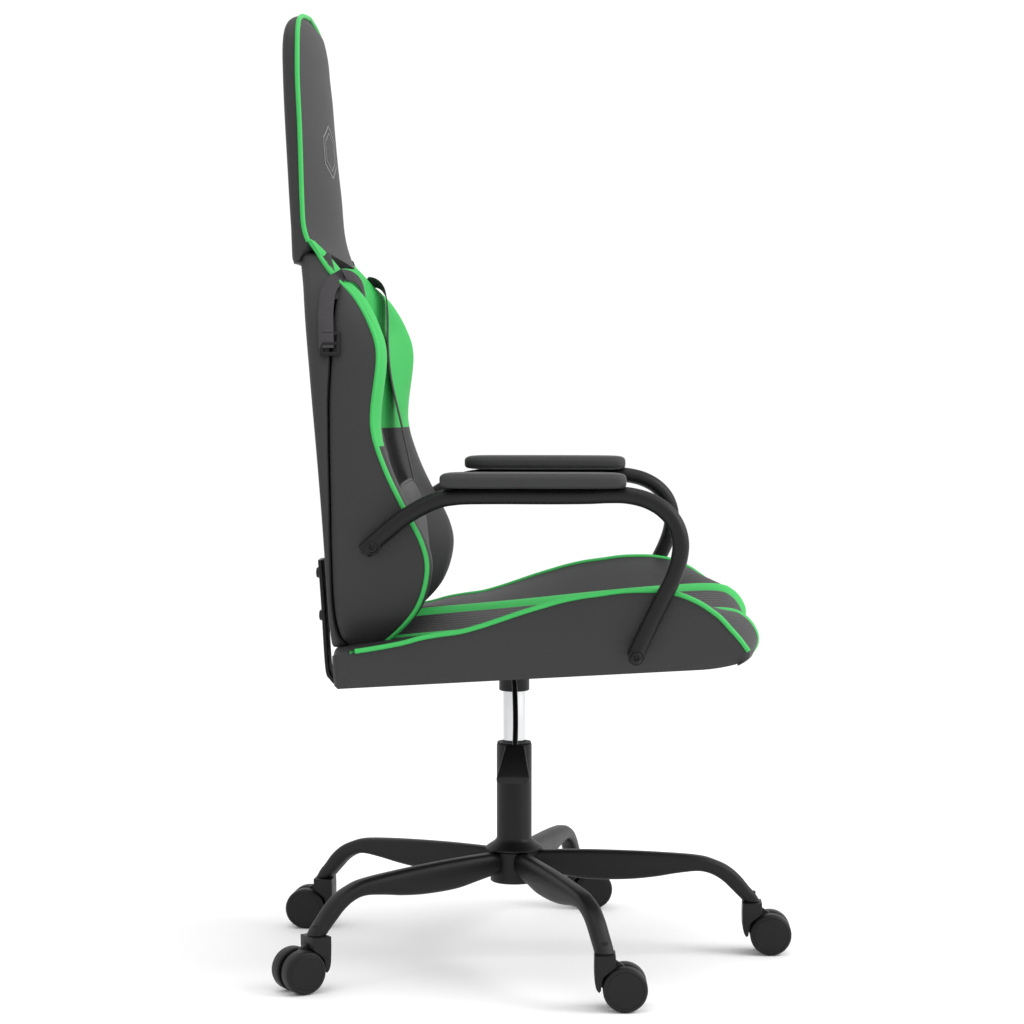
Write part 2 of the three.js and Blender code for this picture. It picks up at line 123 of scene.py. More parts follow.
def make_surface_group(name, build):
    """A node group with Grain, Tone and Depth in, and Height and Shade out."""
    group = bpy.data.node_groups.new(name, "ShaderNodeTree")
    group_socket(group, "Grain", "INPUT", value=900.0)
    group_socket(group, "Tone", "INPUT", value=9.0)
    group_socket(group, "Height", "OUTPUT")
    group_socket(group, "Shade", "OUTPUT")
    inner = group.nodes.new("NodeGroupInput")
    outer = group.nodes.new("NodeGroupOutput")
    place = group.nodes.new("ShaderNodeTexCoord").outputs["Object"]
    height, shade = build(group, inner, place)
    group.links.new(height, outer.inputs["Height"])
    group.links.new(shade, outer.inputs["Shade"])
    return group


def build_powder(group, inner, place):
    """Orange peel, with a slow rubbed tone."""
    peel = texture(group, "ShaderNodeTexNoise", place, Detail=3.0, Roughness=0.55)
    group.links.new(inner.outputs["Grain"], peel.inputs["Scale"])
    rubbed = texture(group, "ShaderNodeTexNoise", place, Detail=4.0)
    group.links.new(inner.outputs["Tone"], rubbed.inputs["Scale"])
    return peel.outputs["Fac"], rubbed.outputs["Fac"]


powder_surface = make_surface_group("powder_surface", build_powder)


def make_finish(name, surface, grain, tone, dark, light, rough, bump, metallic=0.0, specular=0.5):
    """A Principled material whose colour, roughness and relief follow a surface group.
    dark and light are two colours, rough two roughness values, bump a relief in metres."""
    finish = bpy.data.materials.new(name)
    finish.use_nodes = True
    tree = finish.node_tree
    shader = tree.nodes["Principled BSDF"]
    shader.inputs["Metallic"].default_value = metallic
    shader.inputs["Specular IOR Level"].default_value = specular
    detail = tree.nodes.new("ShaderNodeGroup")
    detail.node_tree = surface
    detail.inputs["Grain"].default_value = grain
    detail.inputs["Tone"].default_value = tone
    colour = tree.nodes.new("ShaderNodeMix")
    colour.data_type = "RGBA"
    for socket in (s for s in colour.inputs if s.type == "RGBA"):
        socket.default_value = (*(dark if socket.identifier.startswith("A") else light), 1)
    tree.links.new(detail.outputs["Shade"], colour.inputs[0])
    result = next(s for s in colour.outputs if s.type == "RGBA")
    tree.links.new(result, shader.inputs["Base Color"])
    spread = tree.nodes.new("ShaderNodeMapRange")
    spread.inputs["To Min"].default_value = rough[0]
    spread.inputs["To Max"].default_value = rough[1]
    tree.links.new(detail.outputs["Shade"], spread.inputs["Value"])
    tree.links.new(spread.outputs["Result"], shader.inputs["Roughness"])
    relief = tree.nodes.new("ShaderNodeBump")
    relief.inputs["Strength"].default_value = 0.6
    relief.inputs["Distance"].default_value = bump
    tree.links.new(detail.outputs["Height"], relief.inputs["Height"])
    tree.links.new(relief.outputs["Normal"], shader.inputs["Normal"])
    return finish


powder_coat = make_finish("powder_coat", powder_surface, 700, 14, (0.003, 0.003, 0.003),
                          (0.0046, 0.0046, 0.0047), (0.4, 0.52), 0.0003, specular=0.27)

# ---- Star base ----
# Five pressed steel tubes, deep in the middle and round at the tip, welded to a turned hub.
# The first one points almost straight ahead, and each ends in a socket for a caster stem.
column_low, column_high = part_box("lift_outer_tube")
AXIS = Vector(((column_low.x + column_high.x) / 2, (column_low.y + column_high.y) / 2, 0))
MM = 0.001


def place(x, y, z):
    """A point given in millimetres from the foot of the lift column, in metres."""
    return AXIS + Vector((x * MM, y * MM, z * MM))


def smooth_line(points, count):
    """count points at even spacing on a smooth curve through points."""
    line = [Vector(p) for p in points]
    ends = [line[0] * 2 - line[1], *line, line[-1] * 2 - line[-2]]
    fine = []
    for a, b, c, d in zip(ends, ends[1:], ends[2:], ends[3:]):
        for step in range(24):
            t = step / 24
            fine.append(0.5 * (b * 2 + (c - a) * t + (a * 2 - b * 5 + c * 4 - d) * t * t
                               + (b * 3 - a - c * 3 + d) * t * t * t))
    fine.append(line[-1])
    return even_line(fine, count)


def even_line(line, count):
    """count points at even spacing along a line of points."""
    reach = [0.0]
    for a, b in zip(line, line[1:]):
        reach.append(reach[-1] + (b - a).length)
    made, k = [], 0
    for step in range(count):
        at = reach[-1] * step / (count - 1)
        while k < len(line) - 2 and reach[k + 1] < at:
            k += 1
        span = max(reach[k + 1] - reach[k], 1e-9)
        made.append(line[k].lerp(line[k + 1], min(1.0, (at - reach[k]) / span)))
    return made


def skin_over(name, rings, *finishes, smooth_angle=40, ends=True):
    """A closed skin over rings with the same number of points each."""
    sides = len(rings[0])
    faces = []
    for ring in range(len(rings) - 1):
        for side in range(sides):
            a = ring * sides + side
            b = ring * sides + (side + 1) % sides
            faces.append((a, b, b + sides, a + sides))
    if ends:
        faces.append(tuple(range(sides)))
        faces.append(tuple(range((len(rings) - 1) * sides, len(rings) * sides)))
    mesh = bpy.data.meshes.new(name)
    mesh.from_pydata([p for ring in rings for p in ring], [], faces)
    piece = bpy.data.objects.new(name, mesh)
    bpy.context.collection.objects.link(piece)
    return finish_piece(piece, *finishes, smooth_angle=smooth_angle)


def select_only(piece):
    """Makes piece the only selected object."""
    bpy.ops.object.select_all(action="DESELECT")
    piece.select_set(True)
    bpy.context.view_layer.objects.active = piece


def finish_piece(piece, *finishes, smooth_angle=40):
    """Merges a piece's doubles, turns its faces out, smooths it and gives it its finishes."""
    select_only(piece)
    bpy.ops.object.mode_set(mode="EDIT")
    bpy.ops.mesh.select_all(action="SELECT")
    bpy.ops.mesh.remove_doubles(threshold=0.00005)
    bpy.ops.mesh.dissolve_degenerate(threshold=0.00002)
    bpy.ops.mesh.normals_make_consistent(inside=False)
    bpy.ops.object.mode_set(mode="OBJECT")
    bpy.ops.object.transform_apply(location=True, rotation=True, scale=True)
    bpy.ops.object.shade_smooth_by_angle(angle=math.radians(smooth_angle))
    for finish in finishes:
        piece.data.materials.append(finish)
    piece.select_set(False)
    return piece


def turned_piece(name, rings, finish, centre=None, sides=72, smooth_angle=35, matrix=None):
    """A piece turned on a lathe: rings are (radius, height) in millimetres, bottom to top."""
    centre = centre or Vector((0, 0, 0))
    bpy.ops.object.select_all(action="DESELECT")
    bpy.ops.mesh.primitive_circle_add(vertices=sides, radius=rings[0][0] * MM, fill_type="NGON",
                                      location=(0, 0, rings[0][1] * MM))
    piece = bpy.context.object
    piece.name = name
    bpy.ops.object.transform_apply(location=True, rotation=True, scale=True)
    bpy.ops.object.mode_set(mode="EDIT")
    bpy.ops.mesh.select_all(action="SELECT")
    for (r0, z0), (r1, z1) in zip(rings, rings[1:]):
        bpy.ops.mesh.extrude_region_move(TRANSFORM_OT_translate={"value": (0, 0, (z1 - z0) * MM)})
        bpy.ops.transform.resize(value=(r1 / r0, r1 / r0, 1.0))
    bpy.ops.object.mode_set(mode="OBJECT")
    piece.data.transform(matrix if matrix else Matrix.Translation(centre))
    return finish_piece(piece, finish, smooth_angle=smooth_angle)


def own(piece, body, slot, *nodes):
    """Fixes a piece to a body and hides the CAD nodes that it stands for; the slot argument is not used."""
    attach(piece, body)
    if nodes:
        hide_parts(*nodes)
    return piece


LEG_TOP = [(20, 133.4), (70, 133.2), (120, 132), (180, 129), (232, 124.5), (255, 118), (272, 109.5),
           (286, 97.5), (297, 84), (305, 75), (310.5, 66)]
LEG_UNDER = [(20, 108), (60, 101), (95, 95.5), (140, 94.8), (175, 97.5), (205, 102), (232, 104.5),
             (249, 100.5), (263, 92), (275, 80.5), (289.5, 66)]
LEG_HALF_WIDTH = 11.0
FIRST_BEARING = 4.5


def leg_rings(bearing):
    """Rounded cross-sections along one leg, at a bearing in degrees from straight ahead."""
    out = Vector((math.sin(bearing), -math.cos(bearing), 0))
    across = Vector((math.cos(bearing), math.sin(bearing), 0))
    tops = smooth_line([(r, 0, z) for r, z in LEG_TOP], 72)
    unders = smooth_line([(r, 0, z) for r, z in LEG_UNDER], 72)
    rings = []
    for top, under in zip(tops, unders):
        middle = (top + under) / 2
        half = (top - under) / 2
        ring = []
        for step in range(28):
            turn = math.tau * step / 28
            lift = math.copysign(abs(math.sin(turn)) ** 0.78, math.sin(turn))
            side = math.copysign(abs(math.cos(turn)) ** 0.62, math.cos(turn)) * LEG_HALF_WIDTH
            at = middle + half * lift
            ring.append(AXIS + (out * at.x + across * side + Vector((0, 0, at.z))) * MM)
        rings.append(ring)
    return rings


for number in range(1, 6):
    bearing = math.radians(FIRST_BEARING + 72 * (number - 1))
    leg = skin_over(f"star_leg_{number}", leg_rings(bearing), powder_coat)
    own(leg, "base", "black_steel", f"base_leg_{number}")


def ring_piece(name, profile, finish, sides=96, smooth_angle=35):
    """A turned ring round the lift's axis, from a closed profile of (radius, height) in millimetres."""
    rings = []
    for step in range(sides + 1):
        turn = math.tau * (step % sides) / sides
        rings.append([place(r * math.cos(turn), r * math.sin(turn), z) for r, z in profile])
    return skin_over(name, rings, finish, smooth_angle=smooth_angle, ends=False)


hub = ring_piece("star_hub", [(20.2, 94), (28.5, 94), (30, 95.5), (30, 132.5), (28.8, 134), (20.2, 134)],
                 powder_coat)
own(hub, "base", "black_steel", "base_hub")

# ---- Gas lift ----
# A steel column with a flared foot pressed into the hub, a plastic guide bush in its mouth,
# and the chromed pressure tube that slides in it, up into the socket under the seat.
column = ring_piece("lift_column", [(7, 96), (19.4, 96), (19.4, 134.3), (33, 134.3), (36, 135.2), (36, 137),
                                    (33, 139.5), (25.5, 144.5), (22.4, 148), (22, 150), (22, 266.5),
                                    (21.4, 268), (17.6, 268), (17.3, 266), (17.3, 101.2), (7, 101.2)],
                    powder_coat)
own(column, "base", "black_steel", "lift_outer_tube")

nylon_skin = make_finish("moulded_nylon", powder_surface, 1500, 20, (0.0034, 0.0034, 0.0036),
                         (0.0056, 0.0056, 0.0056), (0.42, 0.55), 0.00018, specular=0.27)
bush = ring_piece("guide_bush", [(14.4, 192), (17.1, 192), (17.1, 268.2), (20.6, 268.3), (21.4, 269.1),
                                 (21, 270.3), (15.2, 270.5), (14.4, 269.4)], nylon_skin)
own(bush, "base", "black_nylon", "lift_guide_bush")


def build_drawn(group, inner, place):
    """Fine drawing lines along the metal and a slow change of polish."""
    stretch = group.nodes.new("ShaderNodeMapping")
    stretch.inputs["Scale"].default_value = (1.0, 1.0, 0.04)
    group.links.new(place, stretch.inputs["Vector"])
    lines = texture(group, "ShaderNodeTexNoise", stretch.outputs["Vector"], Detail=2.0)
    group.links.new(inner.outputs["Grain"], lines.inputs["Scale"])
    polish = texture(group, "ShaderNodeTexNoise", place, Detail=2.0)
    group.links.new(inner.outputs["Tone"], polish.inputs["Scale"])
    return lines.outputs["Fac"], polish.outputs["Fac"]


drawn_surface = make_surface_group("drawn_surface", build_drawn)
chrome = make_finish("bright_chrome", drawn_surface, 900, 30, (0.5, 0.51, 0.52), (0.62, 0.62, 0.63),
                     (0.05, 0.12), 0.00003, metallic=1.0)
zinc = make_finish("zinc_plate", drawn_surface, 1400, 60, (0.42, 0.42, 0.41), (0.6, 0.6, 0.58),
                   (0.28, 0.42), 0.00008, metallic=1.0)
pressure_tube = turned_piece("pressure_tube", [(13.4, 180), (14, 181), (14, 335.5), (13.6, 357)],
                             chrome, AXIS, 96)
own(pressure_tube, "seat", "bright_chrome", "gas_cylinder")


def refinish(finish, *nodes):
    """Gives CAD nodes that are shown as they are one finish."""
    for node in nodes:
        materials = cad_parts[node].data.materials
        materials.clear()
        materials.append(finish)


refinish(zinc, "lift_thrust_bearing", "lift_piston_rod", "release_pin")
for number in range(1, 6):
    refinish(powder_coat, f"caster_stem_{number}")
    refinish(zinc, f"caster_axle_{number}")

# ---- Casters ----
# Twin-wheel casters: moulded nylon wheels with a domed face and a shallow ring, either side of
# a thin web. A moulded block in front of them takes the steel stem, and the axle crosses the web.
WHEEL_R = 26.0
WHEEL_PROFILE = [(12, 0.0), (24.3, 0.2), (25.7, 1.4), (26, 3.2), (26, 14.2), (25.4, 16.2), (23.8, 17.7),
                 (21.9, 18.3), (21.3, 17.9), (20.5, 18.0), (19.8, 18.6), (14, 18.9), (6, 19.0)]
STEM_CIRCLE = 300.0
TRAIL = 24.0
AXLE_HEIGHT = WHEEL_R * math.cos(math.radians(7.5))
HALF_GAP = 4.5
HEADINGS = [0, 12, 175, 214, 2]
HOOD_SIDE = [(-13, 65), (-13, 51.6), (-10, 49.2), (-6, 46.4), (-2.6, 43.2), (0, 40.2), (2, 36.6),
             (3.3, 32.4), (3.9, 28), (4, 24.6), (6, 22), (8.4, 24.4), (10, 28), (11.2, 34), (11.6, 42),
             (11.6, 56), (11.3, 65)]
WEB_SIDE = [(-12, 58), (-22, 52), (-29, 45), (-32, 38), (-33, 28), (-32, 21), (-28, 16), (-22, 15),
            (-12, 17), (-2, 22), (5, 27), (8, 40), (8, 58)]


def side_plate(name, outline, half_width, corner, frame_of):
    """A moulded plate from a side outline (along, height), its two faces' edges rounded."""
    middle = Vector((sum(a for a, _ in outline), sum(b for _, b in outline), 0)) / len(outline)
    rings = []
    rounding = ((1.0, half_width), (0.3, half_width - corner * 0.3), (0.0, half_width - corner))
    for side in (-1, 1):
        for inset, across in rounding:
            ring = []
            for a, b in outline:
                toward = (middle - Vector((a, b, 0))).normalized() * corner * inset
                ring.append(frame_of(side * across, a + toward.x, b + toward.y))
            rings.append(ring)
    low, high = rings[:3], rings[3:]
    return skin_over(name, low + high[::-1], nylon_skin, smooth_angle=38)


for number in range(1, 6):
    bearing = math.radians(FIRST_BEARING + 72 * (number - 1))
    heading = math.radians(HEADINGS[number - 1])
    stem = place(STEM_CIRCLE * math.sin(bearing), -STEM_CIRCLE * math.cos(bearing), 0)
    axle = stem + Vector((math.sin(heading), -math.cos(heading), 0)) * TRAIL * MM
    axle.z = AXLE_HEIGHT * MM
    along = Vector((math.cos(heading), math.sin(heading), 0))
    middle = sum((Vector(c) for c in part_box(f"caster_wheel_{number}a")), Vector()) / 2
    near = 1 if (middle - axle).dot(along) > 0 else -1
    for letter, side in (("a", near), ("b", -near)):
        outward = along * side
        turn = outward.to_track_quat("Z", "Y").to_matrix().to_4x4()
        seat_point = Matrix.Translation(axle + outward * HALF_GAP * MM)
        wheel = turned_piece(f"caster_tyre_{number}{letter}", WHEEL_PROFILE, nylon_skin, sides=64,
                             matrix=seat_point @ turn)
        own(wheel, f"wheel_{number}{letter}", "black_nylon", f"caster_wheel_{number}{letter}")
    forward = Vector((math.sin(heading), -math.cos(heading), 0))

    def on_caster(across, back, height):
        """A point of this caster: across, back from the stem, and height, in millimetres."""
        return stem + (along * across - forward * back + Vector((0, 0, height))) * MM

    hood = side_plate(f"caster_fork_{number}", HOOD_SIDE, 17, 1.6, on_caster)
    own(hood, f"caster_{number}", "black_nylon", f"caster_hood_{number}")
    web = side_plate(f"caster_web_{number}", WEB_SIDE, 3.7, 0.8, on_caster)
    own(web, f"caster_{number}", "black_nylon")

# ---- Seat plate and height lever ----
# A pressed steel plate screwed under the seat board, with a tapered socket welded to it for the
# gas lift. The bent wire lever lifts inside the socket and has a flat plastic paddle.
SEAT_TILT = math.radians(3.3)
SEAT_Z = 377.5


def seat_place(x, y, h):
    """A point on the tilted seat: across, back and height over its underside, in millimetres."""
    return place(x, y * math.cos(SEAT_TILT) + h * math.sin(SEAT_TILT),
                 SEAT_Z + h * math.cos(SEAT_TILT) - y * math.sin(SEAT_TILT))


socket = turned_piece("lift_socket", [(17.8, 335), (19, 336), (19, 349), (20, 356), (23.5, 372), (24, 375)],
                      powder_coat, AXIS, 72)
own(socket, "seat", "black_steel")

bpy.ops.object.select_all(action="DESELECT")
bpy.ops.mesh.primitive_cube_add(size=1.0)
plate = bpy.context.object
plate.name = "seat_mount_plate"
bpy.ops.transform.resize(value=(0.17, 0.19, 0.0028))
bpy.ops.object.transform_apply(location=True, rotation=True, scale=True)
bpy.ops.object.mode_set(mode="EDIT")
bpy.ops.mesh.select_all(action="SELECT")
bpy.ops.mesh.bevel(offset=0.0006, segments=2, affect="EDGES")
bpy.ops.object.mode_set(mode="OBJECT")
tilt = Matrix.Rotation(-SEAT_TILT, 4, "X")
plate.data.transform(Matrix.Translation(seat_place(0, 0, -1.9)) @ tilt)
own(finish_piece(plate, powder_coat, smooth_angle=30), "seat", "black_steel", "seat_plate")

SCREW_HEAD = [(3, 0), (6, 0.2), (7, 1.2), (6.6, 3.0), (5, 4.2), (2.6, 4.4), (2.4, 2.6)]
for index, (x, y) in enumerate(((-70, -80), (70, -80), (70, 80), (-70, 80))):
    turn = Matrix.Translation(seat_place(x, y, -3.2)) @ tilt @ Matrix.Rotation(math.pi, 4, "X")
    head = turned_piece(f"plate_screw_{index + 1}", SCREW_HEAD, zinc, sides=24, matrix=turn)
    own(head, "seat", "plain_steel")


def bent_tube(name, route, radius, finish, steps=90, sides=20, taper=None):
    """A round tube along a smooth route of points in metres; taper scales each end's ring."""
    line = smooth_line(route, steps)
    rings = []
    side = Vector((0, 1, 0.02))
    for index, at in enumerate(line):
        ahead = (line[min(index + 1, steps - 1)] - line[max(index - 1, 0)]).normalized()
        across = ahead.cross(side)
        if across.length < 0.2:
            across = ahead.cross(Vector((1, 0, 0)))
        across.normalize()
        up = across.cross(ahead).normalized()
        side = up if up.dot(side) > 0 else -up
        size = radius * (taper(index / (steps - 1)) if taper else 1.0)
        ring = []
        for step in range(sides):
            turn = math.tau * step / sides
            ring.append(at + (across * math.cos(turn) + up * math.sin(turn)) * size)
        rings.append(ring)
    return skin_over(name, rings, finish)


def round_ends(length, radius):
    """A taper that closes both ends of a tube to a dome."""
    def scale(share):
        near = min(share, 1 - share) * length
        return math.sqrt(max(0.02, 1 - (1 - min(near / (radius * 0.8), 1)) ** 2))
    return scale


lever_route = [place(4, 0, 368.2), place(-24, 0, 368.2), place(-60, -1, 364.5), place(-92, -4, 352),
               place(-140, -7, 318), place(-182, -8, 291.5), place(-205, -8, 278.5)]
rod = bent_tube("lever_wire", lever_route, 0.0032, powder_coat, 70, 16)
own(rod, "height_lever", "black_steel", "lever_rod")


def rounded_ring(half_width, half_depth, corner, steps=6):
    """Points around a rounded rectangle, as (across, up) in millimetres."""
    ring = []
    for sx, sy, start in ((1, 1, 0), (-1, 1, 90), (-1, -1, 180), (1, -1, 270)):
        for step in range(steps + 1):
            turn = math.radians(start + 90 * step / steps)
            ring.append((sx * (half_width - corner) + corner * math.cos(turn),
                         sy * (half_depth - corner) + corner * math.sin(turn)))
    return ring


paddle_turn = Matrix.Translation(place(-213.6, -8, 274.2)) @ Matrix.Rotation(math.radians(-30), 4, "Y")
paddle_rings = []
for along, half_width, half_depth in ((34, 8, 1.6), (33, 11, 3.2), (30, 12, 3.6), (10, 14.5, 3.9),
                                      (-16, 18, 4.0), (-27, 19.6, 4.0), (-31, 19.2, 3.6), (-33, 17, 2.2)):
    paddle_rings.append([paddle_turn @ (Vector((along, a, b)) * MM)
                         for a, b in rounded_ring(half_width, half_depth, min(half_depth * 0.9, 3.2), 5)])
paddle = skin_over("lever_handle", paddle_rings, nylon_skin)
own(paddle, "height_lever", "black_nylon", "lever_paddle")

# ---- Artificial leather ----
# The covers are knitted fabric coated with polyurethane: a fine pebble grain, a low sheen, and
# a slightly paler tone that changes slowly over the coat. The grain's creases are darker in the
# colour, which is painted shade. The panels are black or bright green.


def build_leather(group, inner, place):
    """Pebbles between fine creases, over a slow unevenness of the coat; the creases also darken the colour as
    painted shade.
    """
    pebble = texture(group, "ShaderNodeTexVoronoi", place, Randomness=1.0)
    pebble.feature = "DISTANCE_TO_EDGE"
    group.links.new(inner.outputs["Grain"], pebble.inputs["Scale"])
    fine = texture(group, "ShaderNodeTexNoise", place, Detail=2.0, Scale=1600.0)
    crease_depth_and_shade = group.nodes.new("ShaderNodeMapRange")
    crease_depth_and_shade.inputs["From Max"].default_value = 0.22
    group.links.new(pebble.outputs["Distance"], crease_depth_and_shade.inputs["Value"])
    height = calculate(group, "MULTIPLY_ADD", fine.outputs["Fac"], 0.35, crease_depth_and_shade.outputs["Result"])
    tone = texture(group, "ShaderNodeTexNoise", place, Detail=5.0, Roughness=0.6)
    group.links.new(inner.outputs["Tone"], tone.inputs["Scale"])
    # The colour mixes the slow tone with the crease map, so the creases get painted shade.
    shade = calculate(group, "MULTIPLY_ADD", crease_depth_and_shade.outputs["Result"], 0.3, tone.outputs["Fac"])
    return height, shade


leather_surface = make_surface_group("leather_surface", build_leather)
black_leather = make_finish("black_leather", leather_surface, 520, 11, (0.0125, 0.0125, 0.0128),
                            (0.021, 0.021, 0.0215), (0.5, 0.6), 0.00022, specular=0.42)
green_leather = make_finish("green_leather", leather_surface, 520, 11, (0.027, 0.375, 0.07),
                            (0.038, 0.445, 0.09), (0.5, 0.6), 0.00022, specular=0.4)
green_piping = make_finish("green_piping", leather_surface, 900, 30, (0.028, 0.39, 0.072),
                           (0.04, 0.46, 0.095), (0.45, 0.55), 0.00015, specular=0.4)


# ---- Seat ----
# A plywood board with moulded foam on it: a middle with sewn lengthwise channels between two
# green bands, and a raised bolster each side, piped along its crest down to the front tip.
CENTRE_TOP = [(198, 43), (130, 49), (0, 54), (-120, 60), (-205, 62.5), (-262, 61), (-284, 51),
              (-296, 32), (-295, 16), (-283, 3)]
BOLSTER_CREST = [(196, 41), (178, 44.1), (155, 46.4), (120, 50.9), (96, 56), (73, 58.9), (49, 61),
                 (26, 66), (2, 72.5), (-21, 79), (-45, 85), (-68, 90.3), (-91, 94), (-115, 96), (-138, 98), (-161, 97.8),
                 (-184, 95.8), (-207, 90.3), (-229, 79.3), (-240, 71.1), (-251, 61.9), (-262, 48.5),
                 (-273, 34.6), (-278, 26.8), (-283, 18), (-282, 12), (-275, 7.5)]
SEAT_HALF = 256
CENTRE_HALF = 174
BAND_INNER = 150
CHANNEL = 30
PIPING_STEP = 0.006


def lay_piping(name, route, radius=2.9, finish=green_piping):
    """A round welt along a route of points in metres."""
    length = sum((b - a).length for a, b in zip(route, route[1:]))
    piping = bent_tube(name, route, radius * MM, finish, max(12, int(length / PIPING_STEP)), 10)
    return own(piping, "seat", "black_leatherette")


def softened(seat_rings, inset=5.0, push=4.0):
    """Adds a smaller ring before the first and after the last, so both ends are rounded."""
    made = list(seat_rings)
    for first, second, spot in ((made[0], made[1], 0), (made[-1], made[-2], len(made))):
        middle = sum(first, Vector()) / len(first)
        inner = sum(second, Vector()) / len(second)
        away = (middle - inner).normalized() * push * MM
        rim = []
        for p in first:
            inward = min(inset * MM, (middle - p).length * 0.5)
            rim.append(p + (middle - p).normalized() * inward + away)
        if spot == 0:
            made.insert(0, rim)
        else:
            made.append(rim)
    return made


def side_normal(line, index):
    """The direction up and out of a side outline (back, height) at one of its points."""
    a, b = line[max(index - 1, 0)], line[min(index + 1, len(line) - 1)]
    along = (b - a).normalized()
    return Vector((0, along.z, -along.y))


STATIONS = 120
centre_line = smooth_line([(0, y, h) for y, h in CENTRE_TOP], STATIONS)
crest_line = smooth_line([(0, y, h) for y, h in BOLSTER_CREST], STATIONS)

seat_rings = []
columns = [CENTRE_HALF * 2 * step / 116 - CENTRE_HALF for step in range(117)]
for index, at in enumerate(centre_line):
    outward = side_normal(centre_line, index)
    if outward.z < 0 and index < STATIONS // 2:
        outward = -outward
    ring = []
    for x in columns:
        if abs(x) > BAND_INNER:
            share = (abs(x) - BAND_INNER) / (CENTRE_HALF - BAND_INNER)
            rise = 5 * share - 7 + 6.5 * (1 - abs(2 * share - 1) ** 2.2)
        else:
            share = (x / CHANNEL + 100) % 1.0
            rise = 3.2 * (1 - abs(2 * share - 1) ** 2.4) - 8
        point = at + outward * rise
        ring.append(seat_place(x, point.y, max(point.z, 1.0)))
    low_y = min(max(at.y, -276), 196)
    for x in (CENTRE_HALF - 1, 60, -60, -CENTRE_HALF + 1):
        ring.append(seat_place(x, low_y, 0.6))
    seat_rings.append(ring)
seat_middle = skin_over("seat_middle", softened(seat_rings), black_leather, green_leather)
for face in seat_middle.data.polygons:
    x = abs(face.center.x - AXIS.x) / MM
    on_top = face.center.z > seat_place(0, 0, 9).z and face.center.y < seat_place(0, 192, 0).y
    if BAND_INNER < x < CENTRE_HALF - 0.8 and on_top:
        face.material_index = 1
own(seat_middle, "seat", "black_leatherette", "seat_cushion")


def bolster_rings(side):
    """Cross-sections of one bolster from the back of the seat down to the front tip."""
    rings = []
    for index, (inner, outer) in enumerate(zip(centre_line, crest_line)):
        outward = side_normal(crest_line, index)
        if outward.z < 0 and index < STATIONS // 2:
            outward = -outward
        foot_y = min(max(outer.y, -270), 200)
        foot_h = 0.8 + 9 * (max(0, -225 - foot_y) / 60) ** 2
        ring = []
        for step in range(10):
            v = step / 10
            x = SEAT_HALF - 5 * (1 - v) ** 3 + 3.2 * math.sin(math.pi * v)
            ring.append(seat_place(side * x, foot_y + (outer.y - foot_y) * v,
                                   foot_h + (outer.z - foot_h) * v))
        for step in range(15):
            u = step / 14
            x = SEAT_HALF + (CENTRE_HALF - SEAT_HALF) * u
            point = outer.lerp(inner, u) + outward * 1.8 * math.sin(math.pi * u)
            ring.append(seat_place(side * x, point.y, max(point.z, 0.8)))
        low_y = min(max(inner.y, -276), 196)
        ring.append(seat_place(side * CENTRE_HALF, low_y, 0.8))
        rings.append(ring)
    return softened(rings)


for side, hand in ((-1, "right"), (1, "left")):
    bolster = skin_over(f"seat_side_pad_{hand}", bolster_rings(side), black_leather, smooth_angle=50)
    own(bolster, "seat", "black_leatherette", f"seat_bolster_{hand}")
    crest = [seat_place(side * (SEAT_HALF + 0.5), p.y, p.z - 0.4) for p in crest_line[4:-4]]
    lay_piping(f"seat_side_piping_{hand}", crest)

# ---- Backrest ----
# A plywood board behind the foam: a black cover over its back and edges, a middle with sewn
# channels, and two wings, green over the shoulders, that are piped along their outer edge.
REAR_LINE = [(209, 412), (216, 545), (229, 700), (243, 830), (250, 866)]
CREASE = [(189, 412), (198, 424), (204, 457), (206, 515), (207, 586), (208, 644), (208, 703),
          (206, 749), (205, 796), (203, 819), (203, 850), (212, 870)]
CUSHION_FRONT = [(150, 412), (150, 440), (150, 520), (158, 580), (176, 625), (184, 670), (182, 740),
                 (190, 790), (207, 830), (217, 850), (228, 870)]
WING_EDGE = [(192, 408), (166, 409), (140, 419), (106, 455), (92, 498), (97, 534), (122, 583),
             (140, 621), (153, 659), (155, 690), (148.5, 753), (158, 789), (178, 822), (200, 843),
             (212, 856), (222, 869), (229, 880), (237, 891)]
WING_CREST = [(3, 412), (3.5, 590), (5, 640), (7, 690), (7.5, 790), (10, 840), (11, 862), (3, 891)]
WING_INNER = [(134, 412), (134, 780), (115, 830), (92, 870), (86, 891)]
BACK_HALF = [(194, 408), (203, 425), (212, 450), (221, 520), (222, 640), (219, 730), (206, 790),
             (182, 832), (160, 856), (146, 870), (141, 891)]


def read_line(line, at):
    """The first number of a line of pairs where its second number is at, on a smooth curve."""
    at = min(max(at, line[0][1]), line[-1][1])
    k = max(i for i in range(len(line) - 1) if line[i][1] <= at)
    before, after = max(k - 1, 0), min(k + 2, len(line) - 1)
    (v1, z1), (v2, z2) = line[k], line[k + 1]
    slope = [(line[k + 1][0] - line[before][0]) / max(line[k + 1][1] - line[before][1], 1e-6),
             (line[after][0] - line[k][0]) / max(line[after][1] - line[k][1], 1e-6)]
    t = (at - z1) / max(z2 - z1, 1e-6)
    span = z2 - z1
    return (v1 * (2 * t ** 3 - 3 * t ** 2 + 1) + v2 * (3 * t ** 2 - 2 * t ** 3)
            + slope[0] * span * (t ** 3 - 2 * t ** 2 + t) + slope[1] * span * (t ** 3 - t ** 2))


wing_edge = smooth_line([(0, y, z) for y, z in WING_EDGE], 104)
GREEN_FROM = 658
WAIST = 690
CAP_COVERS = 848


